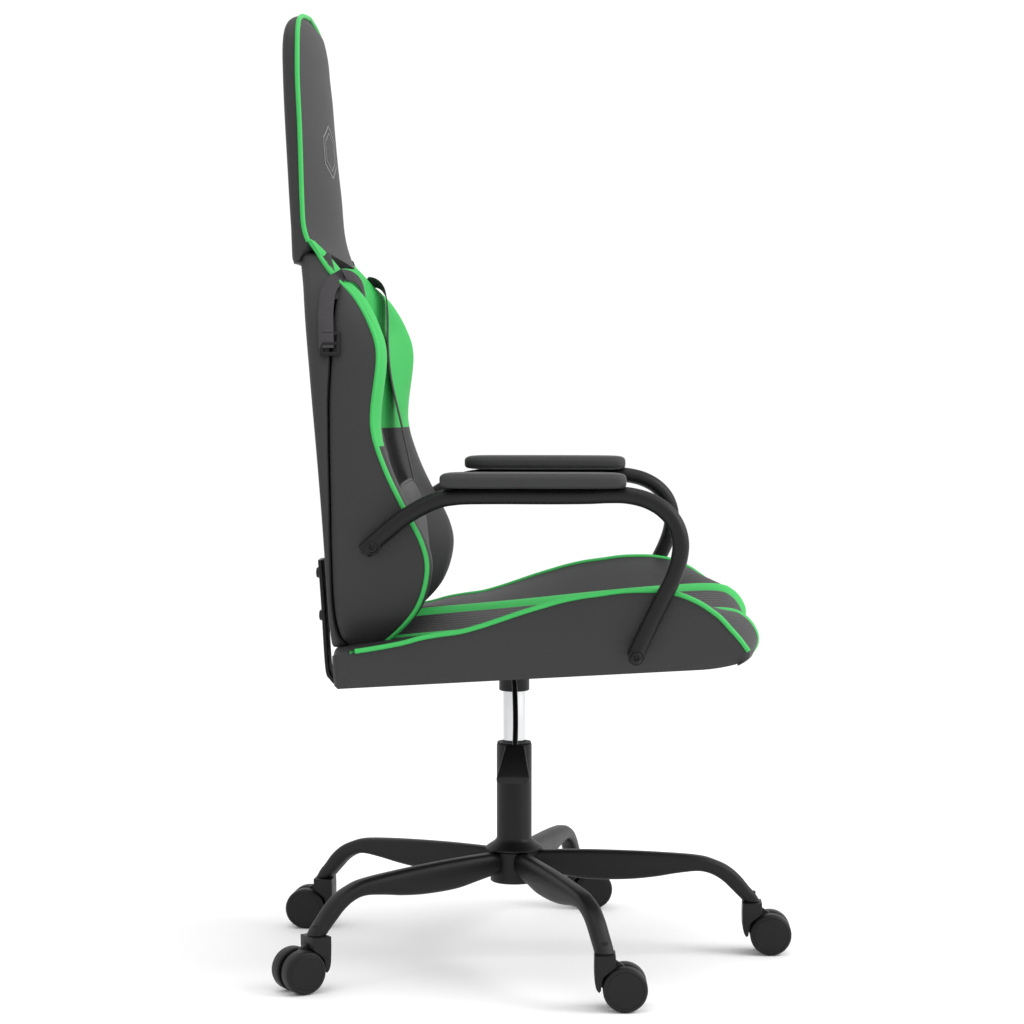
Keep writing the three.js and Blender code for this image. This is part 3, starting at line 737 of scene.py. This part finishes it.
def wing_ring(side, front, z):
    """One level section of a wing, from its hidden back round its side and crest to the middle."""
    half = read_line(BACK_HALF, z)
    rear = max(read_line(CREASE, z), front + 3)
    crest = read_line(WING_CREST, z) * (min(1, (rear - front) / 30) if z < 600 else 1)
    width = 1 - 0.5 * min(max((z - WAIST) / 100, 0), 1)
    hollow = 7 - 14 * min(max((z - WAIST) / 90, 0), 1)
    inner = min(read_line(WING_INNER, z), half - 18)
    middle = max(read_line(CUSHION_FRONT, z) + 1, front - crest + 2)
    under_cap = min(max((z - CAP_COVERS) / 20, 0), 1)
    middle += 14 * under_cap
    ring = [(inner - 8, rear + 24 * under_cap), ((inner + half) / 2, rear + 13 * under_cap),
            (half - 9, rear), (half - 4, rear - 0.6)]
    for step in range(13):
        v = step / 12
        ring.append((half - 1.5 * (1 - v) ** 4 + 3.4 * math.sin(math.pi * v) ** 0.7,
                     rear - 2 + (front + 2 - rear) * v))
    for x, y in ((1.2, 0.18), (3.5, 0.5), (7, 0.8), (12, 0.97), (18, 1.02), (25, 0.95)):
        ring.append((half - x * width, front - crest * y))
    start = Vector((half - 30 * width, front - crest * 0.86))
    stop = Vector((inner, middle))
    for step in range(1, 12):
        v = step / 11
        at = start.lerp(stop, v)
        ring.append((at.x, at.y - hollow * math.sin(math.pi * v) * min(1, (rear - front) / 50)))
    ring.append((inner - 8, middle + 3))
    return [place(side * x, y, z) for x, y in ring]


for side, hand in ((-1, "right"), (1, "left")):
    rings = [wing_ring(side, p.y, p.z) for p in wing_edge]
    wing = skin_over(f"back_wing_pad_{hand}", softened(rings, 4, 2), black_leather, green_leather,
                     smooth_angle=60)
    for face in wing.data.polygons:
        local = (face.center - AXIS) / MM
        half = read_line(BACK_HALF, local.z)
        edge = min(wing_edge, key=lambda p: abs(p.z - local.z) + (0 if p.z > 500 else 60)).y
        on_strip = abs(local.x) > half - 16 and local.y < edge + 0.5 and local.z > GREEN_FROM - 9
        on_front_side = local.z > GREEN_FROM and abs(local.x) < half - 0.8 and face.normal.y < 0.4
        if on_front_side or on_strip:
            face.material_index = 1
    own(wing, "seat", "black_leatherette", f"back_wing_{hand}")
    edge_route = [place(side * (read_line(BACK_HALF, p.z) + 0.2), p.y + 2.0, p.z) for p in wing_edge[1:]]
    lay_piping(f"back_wing_piping_{hand}", edge_route)

COVER_FOOT = 413
COVER_TOP = 872
COVER_SHOULDER = 822
cover_rings = []
for step in range(80):
    z = COVER_FOOT + (COVER_TOP - COVER_FOOT) * step / 79
    half = read_line(BACK_HALF, z) - 1.0
    rear = read_line(REAR_LINE, min(z, 866))
    front = read_line(CREASE, z) + 0.6
    if z > COVER_SHOULDER:
        edge = min(wing_edge, key=lambda p: abs(p.z - z)).y
        front = min(front, edge + 1.5)
    corner = min(12, (rear - front) * 0.45)
    inside = max(front, read_line(CUSHION_FRONT, z) + 12)
    ring = [(-half + 14, inside), (-half + 3, front + 0.4)]
    ring += [(-half - 0.6 * math.sin(math.pi * v / 4), front + 2 + (rear - corner - front - 2) * v / 4)
             for v in range(5)]
    for turn in (20, 45, 70, 90):
        a = math.radians(turn)
        ring.append((-half + corner * (1 - math.cos(a)), rear - corner + corner * math.sin(a)))
    for v in range(1, 12):
        x = (-half + corner) * (1 - v / 6)
        ring.append((x, rear + 5 * (1 - (x / half) ** 2)))
    mirror = [(-x, y) for x, y in reversed(ring[:11])]
    cover_rings.append([place(x, y, z) for x, y in ring + mirror])
rear_cover = skin_over("back_cover", softened(cover_rings, 5, 4), black_leather, smooth_angle=50)
own(rear_cover, "seat", "black_leatherette", "back_rear_cover")

BACK_CHANNEL = 26.8
MIDDLE_HALF = 134
MIDDLE_FOOT = 420
MIDDLE_TOP = 868
middle_rings = []
for step in range(86):
    z = MIDDLE_FOOT + (MIDDLE_TOP - MIDDLE_FOOT) * step / 85
    front = read_line(CUSHION_FRONT, z)
    ring = []
    for column in range(81):
        x = MIDDLE_HALF * (column / 40 - 1)
        share = (x / BACK_CHANNEL + 100) % 1.0
        puff = 2.6 * (1 - abs(2 * share - 1) ** 2.4)
        ring.append((x, front + 3 - puff - 4 * (1 - (x / MIDDLE_HALF) ** 2)))
    ring += [(x, front + 12) for x in (MIDDLE_HALF, 0, -MIDDLE_HALF)]
    middle_rings.append([place(x, y, z) for x, y in ring])
back_middle = skin_over("back_middle", softened(middle_rings, 4, 3), black_leather, smooth_angle=50)
own(back_middle, "seat", "black_leatherette", "back_cushion")

# ---- Head cap ----
# A padded hood sewn from a front, a gusset and a back panel, with green piping round the front
# seam, pulled down over the top of the backrest. Its badge is a plain printed hexagon.
CAP_REAR = [(256, 864), (262, 900), (267, 990), (271, 1090), (271, 1140), (264, 1163), (254, 1171)]
CAP_SEAM = [(226, 864), (230, 876), (240, 889), (246, 908), (248, 939), (249, 986), (250, 1030),
            (252, 1080), (252.5, 1116), (253, 1140), (254, 1171)]
CAP_FRONT = [(198, 858), (206, 879), (212, 905), (215.5, 947), (221, 996), (224.5, 1033), (227.5, 1070),
             (230.5, 1095), (233, 1120), (238, 1144), (243, 1157), (251, 1168), (255, 1172)]
CAP_OUTLINE = [(0, 1170), (70, 1165), (108, 1158), (125, 1150), (138, 1135), (145, 1110), (147.5, 1080),
               (146, 1030), (142, 960), (141, 930), (142, 910), (142.5, 890)]
CAP_REAR_HEM = 864
CAP_CORE = (940, 1110)

right_half = smooth_line([(x, 0, z) for x, z in CAP_OUTLINE], 56)
bottom_edge = [Vector((142.5 - 142.5 * step / 12, 0, 890 - 29 * (step / 12) ** 0.6))
               for step in range(1, 13)]
half_loop = right_half + bottom_edge
cap_loop = half_loop + [Vector((-p.x, 0, p.z)) for p in reversed(half_loop[1:-1])]


def cap_front_y(x, z):
    """How far back the cap's front panel is: domed from its middle to the seam, open at the hem."""
    seam = read_line(CAP_SEAM, z)
    front = min(read_line(CAP_FRONT, z), seam - 2)
    sideways = min(abs(x) / read_line(list(reversed(CAP_OUTLINE)), z), 1) if z < 1160 else 1
    upwards = min(max(z - 1142, 0) / 28, 1)
    reach = min((sideways ** 5 + upwards ** 5) ** 0.2, 1)
    return front + (seam - front) * reach ** 1.8


def cap_ring(share, depth):
    """A loop inside the outline: share 1 is the seam, 0 the spine; depth 0 seam, 1 rear, -1 front."""
    ring = []
    for p in cap_loop:
        core = Vector((0, 0, min(max(p.z, CAP_CORE[0]), CAP_CORE[1])))
        at = core.lerp(p, share)
        y = cap_front_y(at.x, at.z)
        low = 0
        if depth >= 0:
            if share >= 1 and (abs(at.x) > 140 or at.z > 1000):
                y = read_line(CAP_SEAM, at.z)
            y += (max(read_line(CAP_REAR, at.z), read_line(CAP_SEAM, at.z) + 2) - y) * depth
            y += 3 * max(0, 0.9 - share)
            low = (CAP_REAR_HEM - at.z) * min(1, depth * 1.6) * min(max(905 - at.z, 0) / 15, 1)
        ring.append(place(at.x, y, at.z + low))
    return ring


cap_rings = [cap_ring(s, -1) for s in (0, 0.12, 0.24, 0.36, 0.48, 0.6, 0.7, 0.79, 0.86, 0.92, 0.965, 0.99)]
cap_rings += [cap_ring(1.0, 0), cap_ring(1.003, 0.25), cap_ring(1.003, 0.5), cap_ring(0.995, 0.72),
              cap_ring(0.975, 0.88), cap_ring(0.945, 0.96), cap_ring(0.9, 1.0)]
cap_rings += [cap_ring(s, 1.0) for s in (0.75, 0.6, 0.45, 0.3, 0.15, 0)]
cap = skin_over("head_cap_cover", cap_rings, black_leather, smooth_angle=55, ends=False)
own(cap, "seat", "black_leatherette", "head_cap")
seam_route = [place(p.x * 1.004, read_line(CAP_SEAM, p.z) - 0.3, p.z) for p in reversed(right_half)]
seam_route += [place(-p.x * 1.004, read_line(CAP_SEAM, p.z) - 0.3, p.z) for p in right_half[1:]]
lay_piping("head_cap_piping", seam_route)

silver_print = make_finish("silver_print", powder_surface, 2200, 60, (0.13, 0.13, 0.13),
                           (0.24, 0.24, 0.24), (0.4, 0.55), 0.0001)


def on_front(piece, x, z, lift=0.0):
    """The point on a piece's front face at x and z in millimetres, lifted off it a little."""
    start = place(x, -400, z)
    hit, where, normal, _ = piece.ray_cast(start, Vector((0, 1, 0)))
    return (where if hit else place(x, 200, z)) + Vector((0, -lift * MM, 0))


BADGE_X = -40
BADGE_Z = 1003


def hexagon_loop(radius):
    """Even points round an upright hexagon, as (across, height)."""
    corners = [Vector((radius * math.sin(math.radians(60 * k)), radius * math.cos(math.radians(60 * k)), 0))
               for k in range(7)]
    return [(BADGE_X + p.x, BADGE_Z + p.y) for p in even_line(corners, 97)]


for ring_name, radius, width in (("outer", 33, 0.9), ("inner", 24, 0.6)):
    loop = hexagon_loop(radius)
    rings = []
    for (x, z) in loop:
        scale = (radius - width * 2) / radius
        inner_x = BADGE_X + (x - BADGE_X) * scale
        inner_z = BADGE_Z + (z - BADGE_Z) * scale
        rings.append([on_front(cap, x, z, 0.35), on_front(cap, inner_x, inner_z, 0.35),
                      on_front(cap, inner_x, inner_z, -0.3), on_front(cap, x, z, -0.3)])
    badge = skin_over(f"cap_badge_{ring_name}", rings, silver_print)
    own(badge, "seat", "black_leatherette")

# ---- Lumbar pillow and straps ----
# A small stuffed pillow in the same leather, with a piped edge, held in the small of the back by
# two elastic straps that go up over the shoulders to a ladder buckle behind each wing.
PILLOW_Z = 522


def pillow_ring(share, face):
    """A loop inside the pillow's outline, on its front (-1) or back (1) face."""
    ring = []
    for step in range(96):
        turn = math.tau * step / 96
        reach_x = math.copysign(abs(math.cos(turn)) ** 0.42, math.cos(turn)) * 148
        reach_z = math.copysign(abs(math.sin(turn)) ** 0.42, math.sin(turn)) * 74
        pinch = 1 - 0.05 * math.sin(2 * turn) ** 2
        x, z = reach_x * share * pinch, reach_z * share * pinch
        puff = (1 - share ** 3.2) ** 0.75
        y = 128 + (-17 if face < 0 else 14) * puff + 0.10 * z
        ring.append(place(x, y, PILLOW_Z + z))
    return ring


pillow_rings = [pillow_ring(s, -1) for s in (0.02, 0.2, 0.4, 0.55, 0.7, 0.8, 0.88, 0.94, 0.98)]
pillow_rings += [pillow_ring(1, -1)]
pillow_rings += [pillow_ring(s, 1) for s in (0.98, 0.94, 0.88, 0.8, 0.7, 0.55, 0.4, 0.2, 0.02)]
pillow = skin_over("lumbar_pad", pillow_rings, black_leather, smooth_angle=60)
own(pillow, "seat", "black_leatherette", "lumbar_pillow")
lay_piping("lumbar_pad_piping", pillow_ring(1, -1) + [pillow_ring(1, -1)[0]], 2.4, finish=black_leather)


def build_webbing(group, inner, place):
    """Ribs across the strap and threads along it."""
    ribs = texture(group, "ShaderNodeTexWave", place, Scale=260.0)
    ribs.bands_direction = "Z"
    threads = texture(group, "ShaderNodeTexWave", place, Scale=330.0)
    threads.bands_direction = "X"
    height = calculate(group, "MULTIPLY", ribs.outputs["Fac"], threads.outputs["Fac"])
    tone = texture(group, "ShaderNodeTexNoise", place, Detail=3.0)
    group.links.new(inner.outputs["Tone"], tone.inputs["Scale"])
    fuzz = texture(group, "ShaderNodeTexNoise", place, Detail=2.0)
    group.links.new(inner.outputs["Grain"], fuzz.inputs["Scale"])
    return calculate(group, "MULTIPLY_ADD", fuzz.outputs["Fac"], 0.3, height), tone.outputs["Fac"]


webbing_surface = make_surface_group("webbing_surface", build_webbing)
webbing = make_finish("elastic_webbing", webbing_surface, 1800, 40, (0.036, 0.033, 0.036),
                      (0.056, 0.052, 0.056), (0.75, 0.9), 0.0004, specular=0.25)
STRAP_PATH = [((143, 136, 590), (1, 0, 0)), ((148, 152, 660), (1, 0, 0)), ((152, 166, 720), (1, 0, 0)),
              ((154, 171, 767), (1, 0, 0)), ((157, 171.5, 805), (1, 0, 0)), ((159, 174, 832), (1, 0.1, 0)),
              ((163, 183, 846), (0.9, 0.4, -0.2)), ((171, 197, 848), (0.6, 0.8, -0.4)),
              ((185, 210, 834), (0.3, 0.95, -0.2)), ((201, 213, 811), (0.05, 1, 0)),
              ((212.5, 212, 787), (0, 1, 0)), ((218, 211, 763), (0, 1, 0))]


def laid_strap(side, width=18, thickness=1.5):
    """Flat sections along a strap's path on one side."""
    centres = smooth_line([(side * x, y, z) for (x, y, z), _ in STRAP_PATH], 90)
    marks = [min(range(90), key=lambda k: (centres[k] - Vector((side * x, y, z))).length)
             for (x, y, z), _ in STRAP_PATH]
    widths = []
    for k in range(90):
        span = max(i for i in range(len(marks) - 1) if marks[i] <= k)
        share = (k - marks[span]) / max(marks[span + 1] - marks[span], 1)
        (a0, b0, c0), (a1, b1, c1) = STRAP_PATH[span][1], STRAP_PATH[span + 1][1]
        widths.append(Vector((side * a0, b0, c0)).lerp(Vector((side * a1, b1, c1)), share))
    rings = []
    for index, centre in enumerate(centres):
        ahead = (centres[min(index + 1, 89)] - centres[max(index - 1, 0)]).normalized()
        across = widths[index] - ahead * widths[index].dot(ahead)
        across.normalize()
        normal = across.cross(ahead).normalized()
        ring = []
        for a, b in rounded_ring(width / 2, thickness / 2, thickness * 0.45, 2):
            ring.append(place(*(centre + across * a + normal * b)))
        rings.append(ring)
    return rings


for side, hand in ((-1, "right"), (1, "left")):
    strap = skin_over(f"shoulder_strap_{hand}", laid_strap(side), webbing, smooth_angle=50)
    own(strap, "seat", "strap_webbing", f"pillow_strap_{hand}")
    for part, (high, half_high, half_wide) in enumerate(((780, 2.2, 10), (768, 1.8, 9), (756, 2.2, 10))):
        half = read_line(BACK_HALF, high) + 3.4
        rings = []
        for v in (-1, -0.94, 0.94, 1):
            grow = 1 if abs(v) < 1 else 0.7
            rings.append([place(side * (half + a * grow), 207 + v * half_wide, high + b * grow)
                          for a, b in rounded_ring(2.4, half_high, 1.2, 3)])
        bar = skin_over(f"buckle_bar_{part + 1}_{hand}", rings, nylon_skin)
        own(bar, "seat", "black_nylon")
    for part, back in enumerate((-9.5, 9.5)):
        rings = [[place(side * (read_line(BACK_HALF, z) + 3.4 + a), 207 + back + b, z)
                  for a, b in rounded_ring(2.0, 1.8, 0.9, 3)] for z in (754, 756, 780, 782)]
        rail = skin_over(f"buckle_rail_{part + 1}_{hand}", rings, nylon_skin)
        own(rail, "seat", "black_nylon")

# ---- Back brackets ----
# Two bent flat steel bars that join the backrest to the seat, each held by two button-head
# bolts into the back board and two more under the seat board.
BRACKET_LINE = [(223.5, 512), (220, 460), (215.5, 385), (211, 372), (204, 364.5), (196, 362.6),
                (125, 366.9)]
BRACKET_X = 165
BACK_BOLT = [(8.5, 0), (8.6, 1.0), (5.5, 1.1), (6.6, 1.3), (6.4, 3.2), (5.2, 4.6), (3.1, 5.0), (2.7, 3.0)]
for side, hand in ((-1, "right"), (1, "left")):
    line = smooth_line([(0, y, z) for y, z in BRACKET_LINE], 60)
    rings = []
    for index, at in enumerate(line):
        normal = side_normal(line, index)
        ring = []
        for a, b in rounded_ring(18, 2.5, 1.4, 3):
            point = at + normal * b
            ring.append(place(side * BRACKET_X + a, point.y, point.z))
        rings.append(ring)
    bracket = skin_over(f"back_bar_{hand}", rings, powder_coat, smooth_angle=35)
    own(bracket, "seat", "black_steel", f"back_bracket_{hand}")
    for index, z in enumerate((445, 496)):
        y = read_line([(215.5, 385), (220, 460), (223.5, 512)], z) + 2.4
        turn = Matrix.Translation(place(side * BRACKET_X, y, z)) @ Matrix.Rotation(-math.pi / 2, 4, "X")
        bolt = turned_piece(f"back_bolt_{index + 1}_{hand}", BACK_BOLT, powder_coat, sides=32, matrix=turn)
        own(bolt, "seat", "black_steel")

# ---- Armrests ----
# Each arm is one bent steel tube, bolted through its flattened ends to the backrest and to the
# side of the seat board, with a moulded foam pad screwed along its level run.
ARM_ROUTE = [(232, 168, 524), (233, 163, 529), (238, 122, 564), (244, 87, 584), (249, 60, 591),
             (252, 20, 592.5), (252.5, -50, 592.5), (252.5, -95, 593), (253, -118, 594), (254, -140, 593.5), (256, -162, 588.5),
             (258, -181, 578), (260, -195, 562), (262, -201.5, 541), (263.5, -199.5, 519), (265, -191.5, 496),
             (266, -178, 469), (266.5, -164, 440), (266.5, -147, 404)]
pad_foam = make_finish("pad_foam_skin", leather_surface, 900, 18, (0.011, 0.012, 0.0118),
                       (0.019, 0.0195, 0.019), (0.48, 0.6), 0.00018, specular=0.45)
PAD_PLAN = [(76, 16.5, 3.0, 0), (75, 19.5, 6.0, 0), (71, 22.5, 8.0, 0), (60, 25.5, 8.9, 0), (40, 27, 9, 0),
            (-60, 27, 9, 0), (-118, 27, 8.9, 0), (-131, 25.5, 8.4, -0.2), (-137, 22, 7.2, -0.6),
            (-139.5, 18, 4.5, -1)]
ARM_BOLT = [(9.4, -3), (9.6, -0.5), (9.0, 0.3), (6.4, 0.4), (7.0, 0.8), (6.8, 2.6), (5.6, 4.0), (3.3, 4.5),
            (2.9, 2.2)]
for side, hand in ((-1, "right"), (1, "left")):
    route = [place(side * x, y, z) for x, y, z in ARM_ROUTE]
    arm = bent_tube(f"arm_loop_{hand}", route, 0.0098, powder_coat, 150, 28, round_ends(0.80, 0.0098))
    own(arm, "seat", "black_steel", f"arm_tube_{hand}")
    rings = []
    for y, half_wide, half_high, drop in PAD_PLAN:
        ring = []
        for a, b in rounded_ring(half_wide, half_high, min(half_high * 0.8, 6.5), 6):
            lean = 1 - 0.1 * max(0, b / 9)
            ring.append(place(side * 252.5 + a * lean, y, 610.6 + b + drop))
        rings.append(ring)
    pad = skin_over(f"arm_cushion_{hand}", rings, pad_foam, smooth_angle=50)
    select_only(pad)
    round_off = pad.modifiers.new("round_off", "SUBSURF")
    round_off.levels = 2
    round_off.render_levels = 2
    bpy.ops.object.modifier_apply(modifier=round_off.name)
    pad.select_set(False)
    own(pad, "seat", "pad_foam", f"arm_pad_{hand}")
    for end, (x, y, z) in (("back", (241, 156, 532)), ("seat", (276, -151, 408))):
        turn = Matrix.Translation(place(side * x, y, z)) @ Matrix.Rotation(side * math.pi / 2, 4, "Y")
        bolt = turned_piece(f"arm_bolt_{end}_{hand}", ARM_BOLT, powder_coat, sides=36, matrix=turn)
        own(bolt, "seat", "black_steel")

# ---- Boards ----
# The seat and back boards are birch plywood, hidden under the covers. They are laid up with the
# long grain across the chair, and keep the shape that the CAD gives them.


def build_ply(group, inner, place):
    """Long grain along the board with fine pores."""
    stretch = group.nodes.new("ShaderNodeMapping")
    stretch.inputs["Scale"].default_value = (1.0, 0.08, 0.08)
    group.links.new(place, stretch.inputs["Vector"])
    grain = texture(group, "ShaderNodeTexNoise", stretch.outputs["Vector"], Detail=6.0, Distortion=0.6)
    group.links.new(inner.outputs["Grain"], grain.inputs["Scale"])
    tone = texture(group, "ShaderNodeTexNoise", stretch.outputs["Vector"], Detail=3.0)
    group.links.new(inner.outputs["Tone"], tone.inputs["Scale"])
    return grain.outputs["Fac"], tone.outputs["Fac"]


ply_surface = make_surface_group("ply_surface", build_ply)
plywood = make_finish("birch_plywood", ply_surface, 300, 60, (0.36, 0.22, 0.11), (0.55, 0.38, 0.2),
                      (0.6, 0.8), 0.0003)
refinish(plywood, "seat_board", "back_board")
